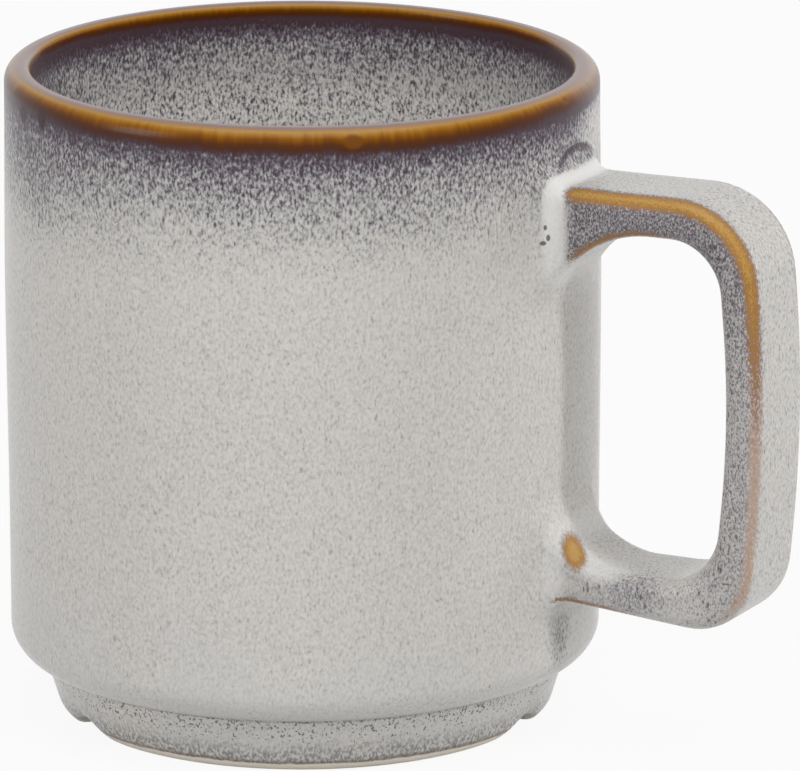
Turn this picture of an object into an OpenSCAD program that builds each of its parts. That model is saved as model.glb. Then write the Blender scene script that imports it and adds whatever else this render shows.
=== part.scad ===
// Stacking coffee mug, fired in one piece: a straight cup on an inset, notched
// foot ring, with one broad strap handle. Millimetres, +Z up. The origin is on
// the cup's axis at the table, and the handle points along +X.

/* [Cup] */
// Outside diameter of the straight wall
body_d = 80; // [70:0.5:95]
// Height from the table to the top of the rim
body_h = 89.2; // [80:0.1:115]
// Thickness of the wall
wall = 3.5; // [3:0.1:5]
// Rounding of the rim's outer edge, the rest of the wall rounds its inner edge
rim_round = 2.2; // [1:0.1:2.6]
// Thickness of the floor above the recess
floor_t = 4.5; // [3.5:0.1:7]
// Rounding between the inside wall and the floor
inside_round = 12; // [6:0.5:18]
// Rounding of the shoulder, where the wall turns in to the foot
shoulder_round = 4.3; // [2:0.1:6]
// Slope of the shoulder's underside, in degrees
shoulder_slope = 14.5; // [6:0.5:25]

/* [Foot] */
// Height of the foot, up to the shoulder
foot_h = 8; // [6:0.1:12]
// Gap all round when the foot stands inside the rim of another mug
nest_gap = 0.9; // [0.5:0.1:2]
// Lean of the foot's outside wall, in degrees
foot_lean = 17.5; // [8:0.5:25]
// Rounding of the foot's outer bottom edge
foot_round = 3; // [1:0.1:3.5]
// Width of the flat ring that touches the table
ring_flat = 2; // [1.5:0.1:3.5]
// Rounding of the ring's inner edge
ring_round = 1.3; // [0.5:0.1:1.8]
// Depth of the recess under the floor
recess_h = 3; // [2:0.1:4.5]
// Rounding in the corner of the recess
recess_round = 1.5; // [0.5:0.1:2]

/* [Drain notches] */
// Number of notches through the foot ring
notch_n = 3; // [0:1:6]
// Width of a notch at the table
notch_w = 9.6; // [5:0.1:12]
// Height of a notch
notch_h = 2.8; // [1.5:0.1:3.5]

/* [Handle] */
// Drop from the rim to the upper arm's top
handle_drop = 11.1; // [8:0.1:16]
// Height of the lower corner's underside above the table
handle_lift = 19.2; // [16:0.1:26]
// Reach from the cup's wall to the outer face of the grip
grip_reach = 31.1; // [27:0.1:40]
// Width of the strap at the grip
grip_w = 14.8; // [11:0.1:20]
// Width of the strap where it joins the cup
root_w = 14.4; // [10:0.1:18]
// Thickness of the upper arm
upper_t = 5.8; // [4:0.1:8]
// Thickness of the grip
grip_t = 5.7; // [4:0.1:8]
// Thickness of the lower arm
lower_t = 6.9; // [4:0.1:9]
// Fall of the lower arm's underside, out from the wall
lower_fall = 2.1; // [0:0.1:3]
// Lean of each half of the grip towards the cup, in degrees
grip_lean = 5; // [2:0.5:8]
// How much nearer the cup the grip's lower end is than its upper end
grip_tuck = 0.2; // [0:0.1:3]
// Radius of the grip's bow
bow_round = 200; // [120:5:220]
// Outer rounding of the upper corner
top_out_round = 12; // [8:0.5:13]
// Inner rounding of the upper corner
top_in_round = 9; // [4:0.5:10]
// Outer rounding of the lower corner
low_out_round = 9; // [6:0.5:12]
// Inner rounding of the lower corner
low_in_round = 11.5; // [4:0.5:12]
// Rounding of the strap's long edges
edge_round = 2.4; // [1:0.1:3]

/* [Handle roots] */
// Drop of the upper root down the wall, below the arm
upper_root_drop = 8.3; // [4:0.1:12]
// Distance out from the wall over which the upper root narrows
upper_root_run = 8; // [6:0.1:11]
// Rounding of the upper root's underside
upper_root_round = 16; // [6:0.5:18]
// Rise of the lower root up the wall, above the arm
lower_root_rise = 5.8; // [4:0.1:12]
// Distance out from the wall over which the lower root narrows
lower_root_run = 6; // [4:0.1:9]
// Rounding of the lower root's upper side
lower_root_round = 12; // [6:0.5:14]
// Fillet all round, where the strap meets the wall
root_fillet = 4.2; // [3:0.1:6]

/* [Hidden] */

glaze_color = [0.78, 0.76, 0.74];

// Sides of each round in the exact, revolved shapes
fine = 96;
// Steps along a corner, an arm and the grip of the strap, round one long edge and
// through the root fillet
corner_steps = 8;
arm_steps = 7;
grip_steps = 9;
edge_steps = 4;
fillet_steps = 6;
// Steps along the arch of a notch
notch_steps = 12;
// Angle at which the root fillet dives into the wall, and how deep it goes
dive_angle = 18;
dive_depth = 0.9;
// Share of the wall's thickness that the strap's flat ends are buried in it
buried = 0.9;
// Largest share of a side that the rounding of a corner or of the bow may use
corner_share = 0.42;
bow_share = 0.56;
// Largest share of the strap's thickness that the rounding of its long edges may use
edge_share = 0.45;

body_r = body_d / 2;
inside_r = body_r - wall;
inside_floor = recess_h + floor_t;

// The shoulder: where its rounding ends and its sloping underside starts
shoulder_turn = 90 - shoulder_slope;
step_r = inside_r - nest_gap;
under_r = body_r - shoulder_round * (1 - cos(shoulder_turn));
under_z = foot_h + (under_r - step_r) * tan(shoulder_slope);
shoulder_z = under_z + shoulder_round * sin(shoulder_turn);

// The foot: its leaning wall runs tangent into the rounded bottom edge
foot_bend_z = foot_round * (1 - sin(foot_lean));
foot_bend_r = step_r - (foot_h - foot_bend_z) * tan(foot_lean);
ring_r = foot_bend_r - foot_round * cos(foot_lean);
recess_r = ring_r - ring_flat - ring_round;

// A notch is a shallow part of a round, cut along the radius
notch_r = (pow(notch_w / 2, 2) + pow(notch_h, 2)) / (2 * notch_h);

// Heights of the strap's four rails, and distances out from the wall
upper_top = body_h - handle_drop;
upper_under = upper_top - upper_t;
lower_top = handle_lift + lower_t;
grip_mid = (upper_top + handle_lift) / 2;
bow_rise = bow_round * (1 / cos(grip_lean) - 1);
out_apex = grip_reach + bow_rise;
in_apex = out_apex - grip_t;

function unit(v) = v / norm(v);
function turned(v, a) = [v.x * cos(a) - v.y * sin(a), v.x * sin(a) + v.y * cos(a)];

// The round that replaces corner b of the path a, b, c
function corner(a, b, c, r, share) =
    let (p = unit(a - b), q = unit(c - b), half = acos(p * q) / 2)
    let (reach = min(r / tan(half), share * norm(a - b), share * norm(c - b)))
    let (radius = reach * tan(half), centre = b + unit(p + q) * radius / sin(half))
    let (start = b + p * reach - centre, way = cross(p, q) > 0 ? -1 : 1)
    [for (k = [0:corner_steps]) centre + turned(start, way * (180 - 2 * half) * k / corner_steps)];

// Points at the given distances along a path
function run_length(path, i) = i == 0 ? 0 : run_length(path, i - 1) + norm(path[i] - path[i - 1]);
function along(path, places) =
    let (x_at = [for (i = [0:len(path) - 1]) [run_length(path, i), path[i].x]])
    let (z_at = [for (i = [0:len(path) - 1]) [run_length(path, i), path[i].y]])
    [for (s = places) [lookup(s, x_at), lookup(s, z_at)]];
function joined(lists) = [for (l = lists) for (p = l) p];
function even(first, last, steps) = [for (k = [1:steps]) first + (last - first) * k / steps];

// Distances out from the wall of the rings in the root fillet, none of them on the wall
fillet_places = [for (k = [1:fillet_steps])
    root_fillet * (cos(dive_angle) - cos(dive_angle + (90 - dive_angle) * k / fillet_steps))];

// One arm of a rail, from the wall to its corner: the fillet's rings, then even steps
function arm(path) =
    let (whole = run_length(path, len(path) - 1), start = fillet_places[fillet_steps - 1])
    along(path, concat(fillet_places, even(start, whole, arm_steps)));

// The grip's stretch of a rail, between its corners
function grip(path) =
    let (whole = run_length(path, len(path) - 1))
    along(path, even(0, whole * (1 - 1 / grip_steps), grip_steps - 1));

function reversed(list) = [for (i = [len(list) - 1:-1:0]) list[i]];

// Outer rail: over the upper arm, down the outside of the grip, back under the lower arm
out_corner = out_apex - (upper_top - grip_mid) * tan(grip_lean);
out_points = [[0, upper_top], [out_corner, upper_top], [out_apex, grip_mid],
    [out_corner - grip_tuck, handle_lift], [0, handle_lift + lower_fall]];
out_top = corner(out_points[0], out_points[1], out_points[2], top_out_round, corner_share);
out_bow = corner(out_points[1], out_points[2], out_points[3], bow_round, bow_share);
out_low = corner(out_points[2], out_points[3], out_points[4], low_out_round, corner_share);
outer_rail = joined([
    arm([out_points[0], out_top[0]]),
    [for (k = [1:corner_steps]) out_top[k]],
    grip(joined([[out_top[corner_steps]], out_bow, [out_low[0]]])),
    [for (k = [0:corner_steps - 1]) out_low[k]],
    reversed(arm([out_points[4], out_low[corner_steps]]))]);

// Inner rail: round the finger hole, with a long curve into each root
in_top_x = in_apex - (upper_under - grip_mid) * tan(grip_lean);
in_low_x = in_apex - (grip_mid - lower_top) * tan(grip_lean) - grip_tuck;
in_points = [[0, upper_under - upper_root_drop], [upper_root_run, upper_under],
    [in_top_x, upper_under], [in_apex, grip_mid], [in_low_x, lower_top],
    [lower_root_run, lower_top], [0, lower_top + lower_root_rise]];
in_top_root = corner(in_points[0], in_points[1], in_points[2], upper_root_round, bow_share);
in_top = corner(in_points[1], in_points[2], in_points[3], top_in_round, corner_share);
in_bow = corner(in_points[2], in_points[3], in_points[4], bow_round, bow_share);
in_low = corner(in_points[3], in_points[4], in_points[5], low_in_round, corner_share);
in_low_root = corner(in_points[4], in_points[5], in_points[6], lower_root_round, bow_share);
inner_rail = joined([
    arm(joined([[in_points[0]], in_top_root, [in_top[0]]])),
    [for (k = [1:corner_steps]) in_top[k]],
    grip(joined([[in_top[corner_steps]], in_bow, [in_low[0]]])),
    [for (k = [0:corner_steps - 1]) in_low[k]],
    reversed(arm(joined([[in_points[6]], reversed(in_low_root), [in_low[corner_steps]]])))]);

// How much wider the strap is at a distance out from the wall, because of the fillet
function flare(out) =
    out < 0 ? root_fillet * (1 - sin(dive_angle)) - out / tan(dive_angle) :
    let (rest = cos(dive_angle) - out / root_fillet)
    rest < 0 ? 0 : root_fillet * (1 - sqrt(1 - rest * rest));

// Width of the strap at a distance out from the wall
function strap_w(out) = root_w + (grip_w - root_w) * min(1, max(0, out / grip_reach));

// One point of a ring: t across the strap's thickness and w across its width, both from
// the ring's middle, bent round the wall near the root
function ring_point(middle, way, t, w) =
    let (out = middle.x + way.x * t)
    let (more = flare(out), wide = w + sign(w) * more, thick = t + sign(t) * more)
    let (x = middle.x + way.x * t, bend = max(0, 1 - max(0, x) / (2 * root_fillet)))
    let (r = body_r + x, dip = r - sqrt(r * r - wide * wide))
    [r - dip * bend, wide, middle.y + way.y * thick];

// One ring of the strap: a rectangle with rounded corners, square to both rails
function ring(p, q) =
    let (middle = (p + q) / 2, way = unit(p - q), half_t = norm(p - q) / 2)
    let (half_w = strap_w(middle.x) / 2, e = min(edge_round, edge_share * 2 * half_t))
    [for (side = [[1, 1, 0], [-1, 1, 90], [-1, -1, 180], [1, -1, 270]])
        for (k = [0:edge_steps])
            let (a = side[2] + 90 * k / edge_steps)
            ring_point(middle, way, side[0] * (half_t - e) + e * cos(a),
                side[1] * (half_w - e) + e * sin(a))];

// The rails start and end a little inside the wall
function dived(rail, first, last) = joined([
    [first - [dive_depth, 0]], rail, [last - [dive_depth, 0]]]);

function flat_end(points) = [for (p = points) [body_r - buried * wall, p.y, p.z]];

module handle() {
    outer = dived(outer_rail, out_points[0], out_points[4]);
    inner = dived(inner_rail, in_points[0], in_points[6]);
    swept = [for (i = [0:len(outer) - 1]) ring(outer[i], inner[i])];
    // Flat ends, buried in the wall
    rings = joined([[flat_end(swept[0])], swept, [flat_end(swept[len(swept) - 1])]]);
    sides = len(rings[0]);
    last = len(rings) - 1;
    polyhedron(
        points = joined(rings),
        faces = joined([
            [[for (j = [sides - 1:-1:0]) j]],
            [for (i = [0:last - 1]) for (j = [0:sides - 1])
                let (a = i * sides + j, b = i * sides + (j + 1) % sides)
                [a, b + sides, a + sides]],
            [for (i = [0:last - 1]) for (j = [0:sides - 1])
                let (a = i * sides + j, b = i * sides + (j + 1) % sides)
                [a, b, b + sides]],
            [[for (j = [0:sides - 1]) last * sides + j]]]));
}

module round_at(x, y, r) {
    translate([x, y]) circle(r = r, $fn = fine);
}

// Half section of the solid cup, before it is hollowed
module cup_outline() {
    round_at(body_r - rim_round, body_h - rim_round, rim_round);
    round_at(body_r - shoulder_round, shoulder_z, shoulder_round);
    round_at(ring_r, foot_round, foot_round);
    polygon([
        [0, 0], [ring_r, 0], [ring_r, foot_round], [foot_bend_r, foot_bend_z],
        [step_r, foot_h], [under_r, under_z], [body_r - shoulder_round, shoulder_z],
        [body_r, shoulder_z], [body_r, body_h - rim_round],
        [body_r - rim_round, body_h - rim_round], [body_r - rim_round, body_h], [0, body_h]]);
}

// Half section of the hollow, which flares out over the rim's inner edge
module hollow_outline() {
    lip = wall - rim_round;
    round_at(inside_r - inside_round, inside_floor + inside_round, inside_round);
    square_to(0, inside_floor, inside_r - inside_round, body_h + lip);
    square_to(0, inside_floor + inside_round, inside_r, body_h + lip);
    difference() {
        square_to(0, body_h - lip, inside_r + lip, body_h + lip);
        round_at(inside_r + lip, body_h - lip, lip);
    }
}

// Half section of the recess under the floor
module recess_outline() {
    round_at(recess_r - recess_round, recess_h - recess_round, recess_round);
    square_to(0, -recess_h, recess_r - recess_round, recess_h);
    square_to(0, -recess_h, recess_r, recess_h - recess_round);
    difference() {
        square_to(0, -recess_h, recess_r + ring_round, ring_round);
        round_at(recess_r + ring_round, ring_round, ring_round);
    }
}

module square_to(x0, y0, x1, y1) {
    translate([x0, y0]) square([x1 - x0, y1 - y0]);
}

// The arch of a notch, which goes on below the table
module notch_arch() {
    arch = asin(notch_w / 2 / notch_r);
    polygon(concat(
        [for (k = [0:notch_steps])
            let (a = arch * (1 - 2 * k / notch_steps))
            [notch_r * sin(a), notch_h - notch_r + notch_r * cos(a)]],
        [[-notch_w / 2, -recess_h], [notch_w / 2, -recess_h]]));
}

// The notches run from the recess out through the ring, the first one under the handle
module notches() {
    for (i = [0:1:notch_n - 1])
        rotate([0, 0, i * 360 / notch_n])
            translate([recess_r - notch_h, 0, 0])
                rotate([90, 0, 90])
                    linear_extrude(body_r - recess_r) notch_arch();
}

// A full turn of an outline, whose seam lies opposite the handle
module turned_solid() {
    rotate([0, 0, 180]) rotate_extrude($fn = fine) children();
}

module mug() {
    color(glaze_color)
    difference() {
        union() {
            turned_solid() cup_outline();
            handle();
        }
        turned_solid() hollow_outline();
        turned_solid() recess_outline();
        notches();
    }
}

mug();
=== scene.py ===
"""Dresses a stacking stoneware mug in its speckled, amber-rimmed glaze.

The cup is spun from a half section, its foot ring is given drain notches, and a strap
handle is drawn out ring by ring between two rails and joined to the wall. All sizes in
the classes are millimetres, and the finished mesh is in metres.
"""

import logging
import math
from dataclasses import dataclass, field
from enum import Enum
from functools import reduce

import bmesh
import bpy
from mathutils import Matrix, Vector
from mathutils.geometry import intersect_point_tri_2d
from mathutils.kdtree import KDTree


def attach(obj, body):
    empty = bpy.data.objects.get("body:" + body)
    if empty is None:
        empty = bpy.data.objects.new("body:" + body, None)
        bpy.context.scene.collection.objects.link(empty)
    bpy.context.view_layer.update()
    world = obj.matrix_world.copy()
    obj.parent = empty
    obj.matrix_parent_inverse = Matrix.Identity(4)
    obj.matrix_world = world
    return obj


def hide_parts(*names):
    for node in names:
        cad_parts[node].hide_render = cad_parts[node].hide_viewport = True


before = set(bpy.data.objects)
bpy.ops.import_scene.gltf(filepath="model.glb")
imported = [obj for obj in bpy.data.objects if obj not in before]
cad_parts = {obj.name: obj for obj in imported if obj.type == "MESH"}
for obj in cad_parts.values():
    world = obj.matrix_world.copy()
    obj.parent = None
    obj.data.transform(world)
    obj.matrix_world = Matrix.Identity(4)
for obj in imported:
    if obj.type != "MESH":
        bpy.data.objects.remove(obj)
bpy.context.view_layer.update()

MM = 0.001
log = logging.getLogger("mug")
Socket = bpy.types.NodeSocket
Mesh = bmesh.types.BMesh


def linear(red: int, green: int, blue: int) -> tuple[float, float, float, float]:
    """Turns a screen colour, 0 to 255, into the shader's linear one, with an alpha of 1."""
    parts = [c / 255 for c in (red, green, blue)]
    return (*[c / 12.92 if c <= 0.04045 else ((c + 0.055) / 1.055) ** 2.4 for c in parts], 1.0)


def ease(value: float, low: float, high: float) -> float:
    """Returns 0 before low, 1 after high, and a smooth rise between."""
    part = min(1.0, max(0.0, (value - low) / (high - low)))
    return part * part * (3 - 2 * part)


class Flow(Enum):
    """What the glaze does at a point of the mesh, kept there as float attributes."""

    BREAK = "glaze_break"
    BLUSH = "glaze_blush"
    # Pooled glaze in the roots' fillets, partly a painted highlight where the concave fillet
    # catches the light.
    POOL_AND_HIGHLIGHT = "glaze_pool"
    FLANK = "strap_flank"
    STRAP = "strap"


RIM_RUN = "rim_run"


@dataclass(frozen=True)
class Bend:
    """One corner of the cup's half section, in millimetres."""

    out: float
    up: float
    radius: float = 0.0
    steps: int = 1


@dataclass
class Cup:
    """The cup with its shoulder, foot ring and drain notches."""

    radius: float = 40.0
    height: float = 89.2
    wall: float = 3.5
    rim_out: float = 2.2
    rim_in: float = 0.9
    inside_runs: float = 1.75
    floor_up: float = 7.5
    inside_round: float = 12.0
    shoulder_up: float = 9.14
    shoulder_round: float = 4.3
    step_out: float = 35.6
    step_up: float = 8.0
    crease_round: float = 0.7
    foot_out: float = 33.08
    foot_round: float = 3.0
    recess_out: float = 27.5
    recess_up: float = 3.0
    waist_up: float = 60.0
    foot_shrink: float = 0.005
    rim_shrink: float = 0.0062
    handle_draft: float = 0.0032
    rim_tilt: float = 0.004
    tilt_side: float = math.radians(28)
    notch_turns: tuple = (0.0, math.radians(120), math.radians(-123.7))
    notch_wide: float = 9.6
    notch_high: float = 2.8
    notch_soft: float = 0.7
    turns: int = 288
    longest_edge: float = 1.6
    weld_gap: float = 0.001
    sliver: float = 0.0005
    handle_span: tuple = (3, 25)
    foot_reach: float = 35
    rim_reach: float = 29

    def section(self) -> list[Bend]:
        """Lists the half section's corners from under the middle to the inside floor.

        Returns:
            The corners, each with its rounding.
        """
        inside = self.radius - self.wall
        return [
            Bend(0, self.recess_up),
            Bend(self.recess_out, self.recess_up, 1.5, 5),
            Bend(self.recess_out, 0, 1.3, 6),
            Bend(self.foot_out, 0, self.foot_round, 9),
            Bend(self.step_out, self.step_up, self.crease_round, 5),
            Bend(self.radius, self.shoulder_up, self.shoulder_round, 12),
            Bend(self.radius, self.height, self.rim_out, 12),
            Bend(inside, self.height, self.rim_in, 8),
            Bend(inside, self.floor_up, self.inside_round, 14),
            Bend(0, self.floor_up),
        ]

    def outline(self, bm: Mesh) -> None:
        """Draws the half section and rounds its corners.

        Args:
            bm: the empty mesh to draw in.
        """
        bends = self.section()
        points = [bm.verts.new((b.out, 0, b.up)) for b in bends]
        for first, second in zip(points, points[1:]):
            bm.edges.new((first, second))
        spots = [p.co.copy() for p in points]
        for i, bend in enumerate(bends[1:-1], start=1):
            half = (spots[i - 1] - spots[i]).angle(spots[i + 1] - spots[i]) / 2
            bmesh.ops.bevel(bm, geom=[points[i]], offset=bend.radius / math.tan(half),
                            offset_type="OFFSET", affect="VERTICES", segments=bend.steps,
                            profile=0.5, material=-1)
        for edge in list(bm.edges):
            cuts = int(edge.calc_length() / self.longest_edge)
            if cuts:
                bmesh.ops.subdivide_edges(bm, edges=[edge], cuts=cuts)

    def spin(self, bm: Mesh) -> None:
        """Spins the half section into the closed cup.

        Args:
            bm: the mesh that holds the half section.
        """
        bmesh.ops.spin(bm, geom=bm.verts[:] + bm.edges[:], cent=(0, 0, 0), axis=(0, 0, 1),
                       angle=math.tau, steps=self.turns, use_merge=True)
        bmesh.ops.remove_doubles(bm, verts=bm.verts, dist=self.weld_gap)
        bmesh.ops.dissolve_degenerate(bm, dist=self.sliver, edges=bm.edges)
        bmesh.ops.recalc_face_normals(bm, faces=bm.faces)

    def cut_notches(self, bm: Mesh) -> None:
        """Presses the drain notches up into the soft foot ring.

        Args:
            bm: the spun cup.
        """
        bow = (self.notch_wide / 2) ** 2 / self.notch_high
        for vert in bm.verts:
            out = math.hypot(vert.co.x, vert.co.y)
            if vert.co.z > self.step_up or out < self.recess_out - 1:
                continue
            angle = math.atan2(vert.co.y, vert.co.x)
            across = out * math.sin(min((math.remainder(angle - turn, math.tau)
                                         for turn in self.notch_turns), key=abs))
            roof = self.notch_high - across ** 2 / bow
            gap = vert.co.z - roof
            vert.co.z = (vert.co.z + roof + math.hypot(gap, self.notch_soft)) / 2

    def rim_run(self, spot: Vector) -> float:
        """Measures how far down over the rim a point lies.

        Args:
            spot: a point of the cup.

        Returns:
            The distance from the rim's crest. On the inside it counts for more, because
            the glaze's bands are narrower there.
        """
        out = spot.xy.length - (self.radius - self.rim_out)
        inward = self.radius - self.wall + self.rim_in - spot.xy.length
        side, size, factor = ((out, self.rim_out, 1.0) if out >= 0
                              else (max(0.0, inward), self.rim_in, self.inside_runs))
        rise = spot.z - (self.height - size)
        turn = min(math.pi / 2, math.atan2(side, max(1e-6, rise))) if side else 0.0
        return factor * (size * turn + max(0.0, -rise))

    def settle(self, bm: Mesh) -> None:
        """Shrinks and warps the mug a little, as the kiln did.

        Args:
            bm: the whole mug, in millimetres.
        """
        for vert in bm.verts:
            up = vert.co.z
            handle = ease(vert.co.xy.length - self.radius, *self.handle_span)
            cup = (self.foot_shrink * ease(self.waist_up - up, 0, self.foot_reach)
                   + self.rim_shrink * ease(up - self.waist_up, 0, self.rim_reach))
            strap = self.handle_draft * ease(self.height - up, 0, self.height)
            right = (vert.co.x * math.cos(self.tilt_side)
                     + vert.co.y * math.sin(self.tilt_side) + self.radius)
            vert.co.z -= (self.rim_tilt * right * ease(up, self.waist_up, self.height)
                          * (1 - handle))
            vert.co.xy *= 1 - cup * (1 - handle) - strap * handle

    def build(self) -> Mesh:
        """Builds the closed cup.

        Returns:
            The cup's mesh, in millimetres.
        """
        bm = bmesh.new()
        self.outline(bm)
        self.spin(bm)
        self.cut_notches(bm)
        return bm


class Path:
    """A line of points in the handle's plane: distance out from the wall, and height."""

    def __init__(self, points: list[Vector]) -> None:
        """Measures the line.

        Args:
            points: its points, in order.
        """
        self.points = points
        self.marks = [0.0]
        for first, second in zip(points, points[1:]):
            self.marks.append(self.marks[-1] + (second - first).length)

    @property
    def length(self) -> float:
        """The line's whole length."""
        return self.marks[-1]

    def at(self, place: float) -> Vector:
        """Finds a point of the line.

        Args:
            place: the distance along it.

        Returns:
            The point there.
        """
        for i, mark in enumerate(self.marks[1:]):
            if place <= mark + 1e-9:
                part = (place - self.marks[i]) / max(1e-9, mark - self.marks[i])
                return self.points[i].lerp(self.points[i + 1], part)
        return self.points[-1]


@dataclass(frozen=True)
class GlazeLine:
    """A stretch of the strap's edge where the glaze breaks to amber."""

    outer: bool
    start: float
    end: float
    strength: float
    width: float
    fade_in: float = 0.03
    fade_out: float = 0.1

    def amount(self, along: float, gap: float) -> float:
        """How far the glaze breaks at a point.

        Args:
            along: share of the strap's length, from the upper root.
            gap: distance from this edge of the strap.

        Returns:
            The amount, from 0 to 1.
        """
        stretch = (ease(along, self.start, self.start + self.fade_in)
                   * (1 - ease(along, self.end - self.fade_out, self.end)))
        return self.strength * stretch * math.exp(-((gap / self.width) ** 2))


@dataclass
class StrapHandle:
    """The broad strap handle, drawn out between an outer and an inner rail."""

    wall_r: float = 40.0
    top_up: float = 78.1
    bottom_up: float = 19.2
    fall: float = 2.1
    reach: float = 31.1
    bow_rise: float = 0.76
    tuck: float = 0.2
    grip_thick: float = 5.7
    upper_thick: float = 5.8
    lower_thick: float = 6.9
    lean: float = math.tan(math.radians(5))
    grip_wide: float = 14.8
    root_wide: float = 14.4
    edge_round: float = 2.4
    upper_root: tuple[float, float] = (8.0, 8.3)
    lower_root: tuple[float, float] = (6.0, 5.8)
    fillet: float = 3.6
    outer_rounds: tuple = (12, 200, 9)
    inner_rounds: tuple = (16, 9, 200, 11.5, 12)
    sharp_angle: float = math.radians(110)
    sharp_share: float = 0.42
    blunt_share: float = 0.56
    corner_steps: int = 14
    arm_steps: int = 14
    grip_steps: int = 18
    fillet_steps: int = 9
    edge_steps: int = 6
    face_steps: int = 7
    lines: tuple[GlazeLine, ...] = (
        GlazeLine(True, 0.020, 0.60, 1.05, 1.15, fade_in=0.02, fade_out=0.36),
        GlazeLine(False, 0.030, 0.27, 0.62, 1.05, fade_out=0.18),
        GlazeLine(True, 0.86, 0.99, 0.62, 0.6, fade_in=0.06, fade_out=0.01),
    )
    blush: GlazeLine = GlazeLine(True, 0.28, 0.80, 1.0, 1.0, fade_in=0.16, fade_out=0.10)
    marks: list[tuple[Vector, dict[Flow, float]]] = field(default_factory=list)

    def corner(self, before: Vector, here: Vector, after: Vector,
               radius: float) -> list[Vector]:
        """Rounds a corner of a rail.

        Args:
            before: the point before the corner.
            here: the corner.
            after: the point after it.
            radius: the wanted radius.

        Returns:
            The round's points, in order.
        """
        first, second = before - here, after - here
        half = first.angle(second) / 2
        share = self.sharp_share if 2 * half < self.sharp_angle else self.blunt_share
        reach = min(radius / math.tan(half), share * first.length, share * second.length)
        start, end = here + first.normalized() * reach, here + second.normalized() * reach
        middle = here + (first.normalized() + second.normalized()).normalized() * (
            reach / math.cos(half))
        turn = (start - middle).angle_signed(end - middle)
        return [middle + Matrix.Rotation(-turn * k / self.corner_steps, 2) @ (start - middle)
                for k in range(self.corner_steps + 1)]

    def fillet_places(self) -> list[float]:
        """Distances out from the wall of the rings in the root's fillet."""
        return [self.fillet * (1 - math.cos(math.pi / 2 * k / self.fillet_steps))
                for k in range(self.fillet_steps + 1)]

    def arm(self, points: list[Vector]) -> list[Vector]:
        """Places an arm's stations, close together in the fillet.

        Args:
            points: the arm's line, from the wall outwards.

        Returns:
            The stations' points.
        """
        path, near = Path(points), self.fillet_places()
        rest = path.length - near[-1]
        far = [near[-1] + rest * k / self.arm_steps for k in range(1, self.arm_steps + 1)]
        return [path.at(p) for p in near + far]

    def grip(self, points: list[Vector]) -> list[Vector]:
        """Places the grip's stations evenly along its line, without its two ends."""
        path = Path(points)
        return [path.at(path.length * k / self.grip_steps) for k in range(1, self.grip_steps)]

    def rail(self, corners: list[Vector], radii: tuple) -> list[Vector]:
        """Runs a whole rail from the upper root to the lower one.

        Args:
            corners: the rail's points. The first and the last lie on the wall.
            radii: the rounding of each point between them.

        Returns:
            One point for each station.
        """
        rounds = [self.corner(*corners[i:i + 3], radii[i]) for i in range(len(radii))]
        middle = len(rounds) // 2
        top, bow, low = rounds[middle - 1:middle + 2]
        upper = [corners[0]] + [p for r in rounds[:middle - 1] for p in r] + [top[0]]
        lower = [corners[-1]] + [p for r in reversed(rounds[middle + 2:])
                                 for p in reversed(r)] + [low[-1]]
        return (self.arm(upper) + top[1:] + self.grip([top[-1]] + bow + [low[0]])
                + low[:-1] + self.arm(lower)[::-1])

    def rails(self) -> tuple[list[Vector], list[Vector]]:
        """Runs both rails.

        Returns:
            The outer and the inner rail's points, station by station.
        """
        middle = (self.top_up + self.bottom_up) / 2
        out_apex = self.reach + self.bow_rise
        out_corner = out_apex - (self.top_up - middle) * self.lean
        outer = self.rail([Vector(p) for p in (
            (0, self.top_up), (out_corner, self.top_up), (out_apex, middle),
            (out_corner - self.tuck, self.bottom_up),
            (0, self.bottom_up + self.fall))], self.outer_rounds)
        under, over = self.top_up - self.upper_thick, self.bottom_up + self.lower_thick
        in_apex = out_apex - self.grip_thick
        inner = self.rail([Vector(p) for p in (
            (0, under - self.upper_root[1]), (self.upper_root[0], under),
            (in_apex - (under - middle) * self.lean, under), (in_apex, middle),
            (in_apex - (middle - over) * self.lean - self.tuck, over),
            (self.lower_root[0], over), (0, over + self.lower_root[1]))],
            self.inner_rounds)
        return outer, inner

    def flare(self, out: float) -> float:
        """Returns how far the strap swells, at a distance out from the wall."""
        rest = 1 - max(0.0, out) / self.fillet
        return self.fillet * (1 - math.sqrt(1 - rest * rest)) if rest > 0 else 0.0

    def section(self, half_thick: float, half_wide: float) -> list[tuple[float, float]]:
        """Draws one section of the strap: a rectangle with rounded corners.

        Args:
            half_thick: half the strap's thickness.
            half_wide: half its width.

        Returns:
            The section's points: across the thickness, and across the width.
        """
        e = min(self.edge_round, 0.9 * half_thick)
        corners = []
        for side_t, side_w, start in ((1, 1, 0), (-1, 1, 90), (-1, -1, 180), (1, -1, 270)):
            turns = [math.radians(start + 90 * k / self.edge_steps)
                     for k in range(self.edge_steps + 1)]
            corners.append([Vector((side_t * (half_thick - e) + e * math.cos(a),
                                    side_w * (half_wide - e) + e * math.sin(a)))
                            for a in turns])
        points = []
        for here, after in zip(corners, corners[1:] + corners[:1]):
            points += here + [here[-1].lerp(after[0], k / self.face_steps)
                              for k in range(1, self.face_steps)]
        return [tuple(p) for p in points]

    def place(self, outer: Vector, inner: Vector, thick: float, wide: float) -> Vector:
        """Puts one point of a section in its place, bent round the wall near the root.

        Args:
            outer: the outer rail's point at this station.
            inner: the inner rail's point at this station.
            thick: where the point lies across the thickness.
            wide: where it lies across the width.

        Returns:
            The point in the handle's own frame.
        """
        middle, way = (outer + inner) / 2, (outer - inner).normalized()
        out = max(0.0, middle.x + way.x * thick)
        more = self.flare(out)
        across = wide + math.copysign(more, wide)
        up = middle.y + way.y * (thick + math.copysign(more, thick))
        bend = max(0.0, 1 - out / (2 * self.fillet))
        reach = self.wall_r + out
        dip = reach - math.sqrt(reach * reach - across * across)
        return Vector((reach - dip * bend, across, up))

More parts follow.
